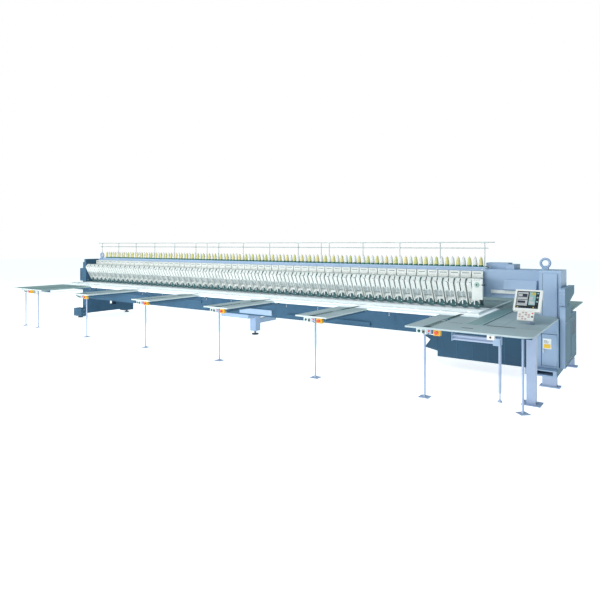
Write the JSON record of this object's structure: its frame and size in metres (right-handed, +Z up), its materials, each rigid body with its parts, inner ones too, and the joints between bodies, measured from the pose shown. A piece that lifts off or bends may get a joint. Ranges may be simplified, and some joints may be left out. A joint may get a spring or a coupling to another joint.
{
  "type": "multi-head embroidery machine",
  "caption": "Long industrial embroidery machine: a row of sewing heads on a beam over a white bed, with a sash frame, extension arm tables, thread stand, drive tower and operator panel.",
  "frame": {"origin": "middle of the machine's footprint, on the floor", "axes": "+X along the row of heads towards the drive tower, +Y from the operator's side to the back, +Z up"},
  "size_m": [11.22, 4.135, 1.889],
  "materials": {
    "frame_blue": "satin periwinkle-blue machine paint",
    "leg_blue": "satin pale blue paint",
    "head_white": "semi-gloss off-white enamel",
    "bed_white": "satin white enamel",
    "table_grey": "matt grey-green laminate",
    "steel": "ground steel",
    "chrome": "polished",
    "aluminium": "anodised",
    "cast_iron": "dark painted casting",
    "rubber": "matt black",
    "thread_yellow": "wound thread",
    "thread_white": "wound thread",
    "green_plastic": "moulded",
    "estop_yellow": "moulded",
    "estop_red": "moulded",
    "panel_white": "fine texture",
    "dark_plastic": "moulded"
  },
  "bodies": {
    "root": {"lower_beam": "frame_blue", "deep_section": "frame_blue", "left_end_stand": "frame_blue", "center_leg": "frame_blue", "tower_base": "frame_blue", "tower_frame": "frame_blue", "tower_upper": "frame_blue", "tower_covers": "frame_blue", "upper_beam": "frame_blue", "beam_covers": "frame_blue", "lifting_eyes": "frame_blue", "thread_shelf": "frame_blue", "thread_stand": "steel", "cone_pins": "green_plastic", "cones_yellow": "thread_yellow", "cones_white": "thread_white", "head_arms": "cast_iron", "needle_plates": "steel", "bed_table": "bed_white", "right_table": "table_grey", "left_table": "table_grey", "arm_tables": "table_grey", "rear_table": "table_grey", "slide_cover": "table_grey", "table_legs": "leg_blue", "machine_feet": "steel", "shaft_bearings": "cast_iron", "main_motor": "dark_plastic", "drive_belts": "rubber", "y_idlers": "aluminium", "switch_boxes": "panel_white", "estop_boxes": "estop_yellow"},
    "head_row": {"needle_cases": "head_white", "tension_panels": "head_white"},
    "needle_bars": {"needle_bars": "steel"},
    "presser_feet": {"presser_feet": "steel"},
    "take_up_levers": {"take_up_levers": "chrome"},
    "selector_dial": {"selector_dial": "dark_plastic"},
    "upper_shaft": {"upper_shaft": "steel"},
    "lower_shaft": {"lower_shaft": "steel", "rotary_hooks": "chrome"},
    "motor_rotor": {"motor_pulley": "steel"},
    "y_carriages": {"y_carriages": "aluminium"},
    "y_drive_shaft": {"y_drive_shaft": "steel"},
    "sash_frame": {"sash_frame": "aluminium"},
    "panel_post": {"panel_post": "leg_blue"},
    "control_panel": {"control_panel": "panel_white"},
    "cabinet_door": {"cabinet_door": "frame_blue"},
    "estop_button_1": {"estop_button_1": "estop_red"},
    "start_lever_1": {"start_lever_1": "dark_plastic"},
    "estop_button_2": {"estop_button_2": "estop_red"},
    "start_lever_2": {"start_lever_2": "dark_plastic"},
    "estop_button_3": {"estop_button_3": "estop_red"},
    "start_lever_3": {"start_lever_3": "dark_plastic"},
    "estop_button_4": {"estop_button_4": "estop_red"},
    "start_lever_4": {"start_lever_4": "dark_plastic"},
    "estop_button_5": {"estop_button_5": "estop_red"},
    "start_lever_5": {"start_lever_5": "dark_plastic"},
    "estop_button_6": {"estop_button_6": "estop_red"},
    "start_lever_6": {"start_lever_6": "dark_plastic"}
  },
  "joints": [
    {"name": "needle_shift", "type": "slide", "parent": "root", "child": "head_row", "axis": [1, 0, 0], "range_m": [0, 0.012]},
    {"name": "needle_stroke", "type": "slide", "parent": "head_row", "child": "needle_bars", "axis": [0, 0, 1], "range_m": [-0.03, 0]},
    {"name": "presser_lift", "type": "slide", "parent": "head_row", "child": "presser_feet", "axis": [0, 0, 1], "range_m": [-0.006, 0]},
    {"name": "take_up_swing", "type": "hinge", "parent": "head_row", "child": "take_up_levers", "pos_m": [4.37, -0.0675, 1.275], "axis": [1, 0, 0], "range_deg": [-2, 46]},
    {"name": "selector_turn", "type": "hinge", "parent": "head_row", "child": "selector_dial", "pos_m": [4.45, -0.2575, 1.265], "axis": [0, -1, 0], "range_deg": [-30, 30]},
    {"name": "upper_shaft_spin", "type": "hinge", "parent": "root", "child": "upper_shaft", "pos_m": [4.37, 0.2175, 1.3], "axis": [1, 0, 0], "continuous": true},
    {"name": "lower_shaft_spin", "type": "hinge", "parent": "root", "child": "lower_shaft", "pos_m": [4.37, 0.0905, 0.825], "axis": [1, 0, 0], "continuous": true},
    {"name": "motor_spin", "type": "hinge", "parent": "root", "child": "motor_rotor", "pos_m": [5.37, -0.0075, 1.15], "axis": [1, 0, 0], "continuous": true},
    {"name": "sash_y", "type": "slide", "parent": "root", "child": "y_carriages", "axis": [0, 1, 0], "range_m": [-0.25, 0.25]},
    {"name": "y_drive_spin", "type": "hinge", "parent": "root", "child": "y_drive_shaft", "pos_m": [4.37, -0.4775, 0.806], "axis": [1, 0, 0], "range_deg": [-700, 700]},
    {"name": "sash_x", "type": "slide", "parent": "y_carriages", "child": "sash_frame", "axis": [1, 0, 0], "range_m": [-0.06, 0.06]},
    {"name": "panel_swivel", "type": "hinge", "parent": "root", "child": "panel_post", "pos_m": [5.322, -1.0725, 0.9], "axis": [0, 0, 1], "range_deg": [-45, 45]},
    {"name": "panel_tilt", "type": "hinge", "parent": "panel_post", "child": "control_panel", "pos_m": [5.322, -1.0725, 1.006], "axis": [1, 0, 0], "range_deg": [-15, 20]},
    {"name": "door_hinge", "type": "hinge", "parent": "root", "child": "cabinet_door", "pos_m": [5.52, -0.3755, 0.455], "axis": [0, 0, 1], "range_deg": [0, 110]},
    {"name": "estop_press_1", "type": "slide", "parent": "root", "child": "estop_button_1", "axis": [0, 1, 0], "range_m": [0, 0.006], "stiffness_N_per_m": 400},
    {"name": "estop_press_2", "type": "slide", "parent": "root", "child": "estop_button_2", "axis": [0, 1, 0], "range_m": [0, 0.006], "stiffness_N_per_m": 400},
    {"name": "estop_press_3", "type": "slide", "parent": "root", "child": "estop_button_3", "axis": [0, 1, 0], "range_m": [0, 0.006], "stiffness_N_per_m": 400},
    {"name": "estop_press_4", "type": "slide", "parent": "root", "child": "estop_button_4", "axis": [0, 1, 0], "range_m": [0, 0.006], "stiffness_N_per_m": 400},
    {"name": "estop_press_5", "type": "slide", "parent": "root", "child": "estop_button_5", "axis": [0, 1, 0], "range_m": [0, 0.006], "stiffness_N_per_m": 400},
    {"name": "estop_press_6", "type": "slide", "parent": "root", "child": "estop_button_6", "axis": [0, 1, 0], "range_m": [0, 0.006], "stiffness_N_per_m": 400},
    {"name": "start_rock_1", "type": "hinge", "parent": "root", "child": "start_lever_1", "pos_m": [-4.718, -2.0445, 0.826], "axis": [1, 0, 0], "range_deg": [-12, 12], "stiffness_Nm_per_rad": 0.4},
    {"name": "start_rock_2", "type": "hinge", "parent": "root", "child": "start_lever_2", "pos_m": [-2.668, -2.0445, 0.826], "axis": [1, 0, 0], "range_deg": [-12, 12], "stiffness_Nm_per_rad": 0.4},
    {"name": "start_rock_3", "type": "hinge", "parent": "root", "child": "start_lever_3", "pos_m": [-0.853, -2.0445, 0.826], "axis": [1, 0, 0], "range_deg": [-12, 12], "stiffness_Nm_per_rad": 0.4},
    {"name": "start_rock_4", "type": "hinge", "parent": "root", "child": "start_lever_4", "pos_m": [0.952, -2.0445, 0.826], "axis": [1, 0, 0], "range_deg": [-12, 12], "stiffness_Nm_per_rad": 0.4},
    {"name": "start_rock_5", "type": "hinge", "parent": "root", "child": "start_lever_5", "pos_m": [2.727, -2.0445, 0.826], "axis": [1, 0, 0], "range_deg": [-12, 12], "stiffness_Nm_per_rad": 0.4},
    {"name": "start_rock_6", "type": "hinge", "parent": "root", "child": "start_lever_6", "pos_m": [4.342, -2.0445, 0.826], "axis": [1, 0, 0], "range_deg": [-12, 12], "stiffness_Nm_per_rad": 0.4}
  ],
  "couplings": [
    {"joint": "presser_lift", "follows": "needle_stroke", "ratio": 0.2},
    {"joint": "take_up_swing", "follows": "needle_stroke", "rad_per_m": -26},
    {"joint": "lower_shaft_spin", "follows": "upper_shaft_spin", "ratio": 2},
    {"joint": "motor_spin", "follows": "upper_shaft_spin", "ratio": 1.5},
    {"joint": "y_drive_spin", "follows": "sash_y", "rad_per_m": -38.61}
  ]
}
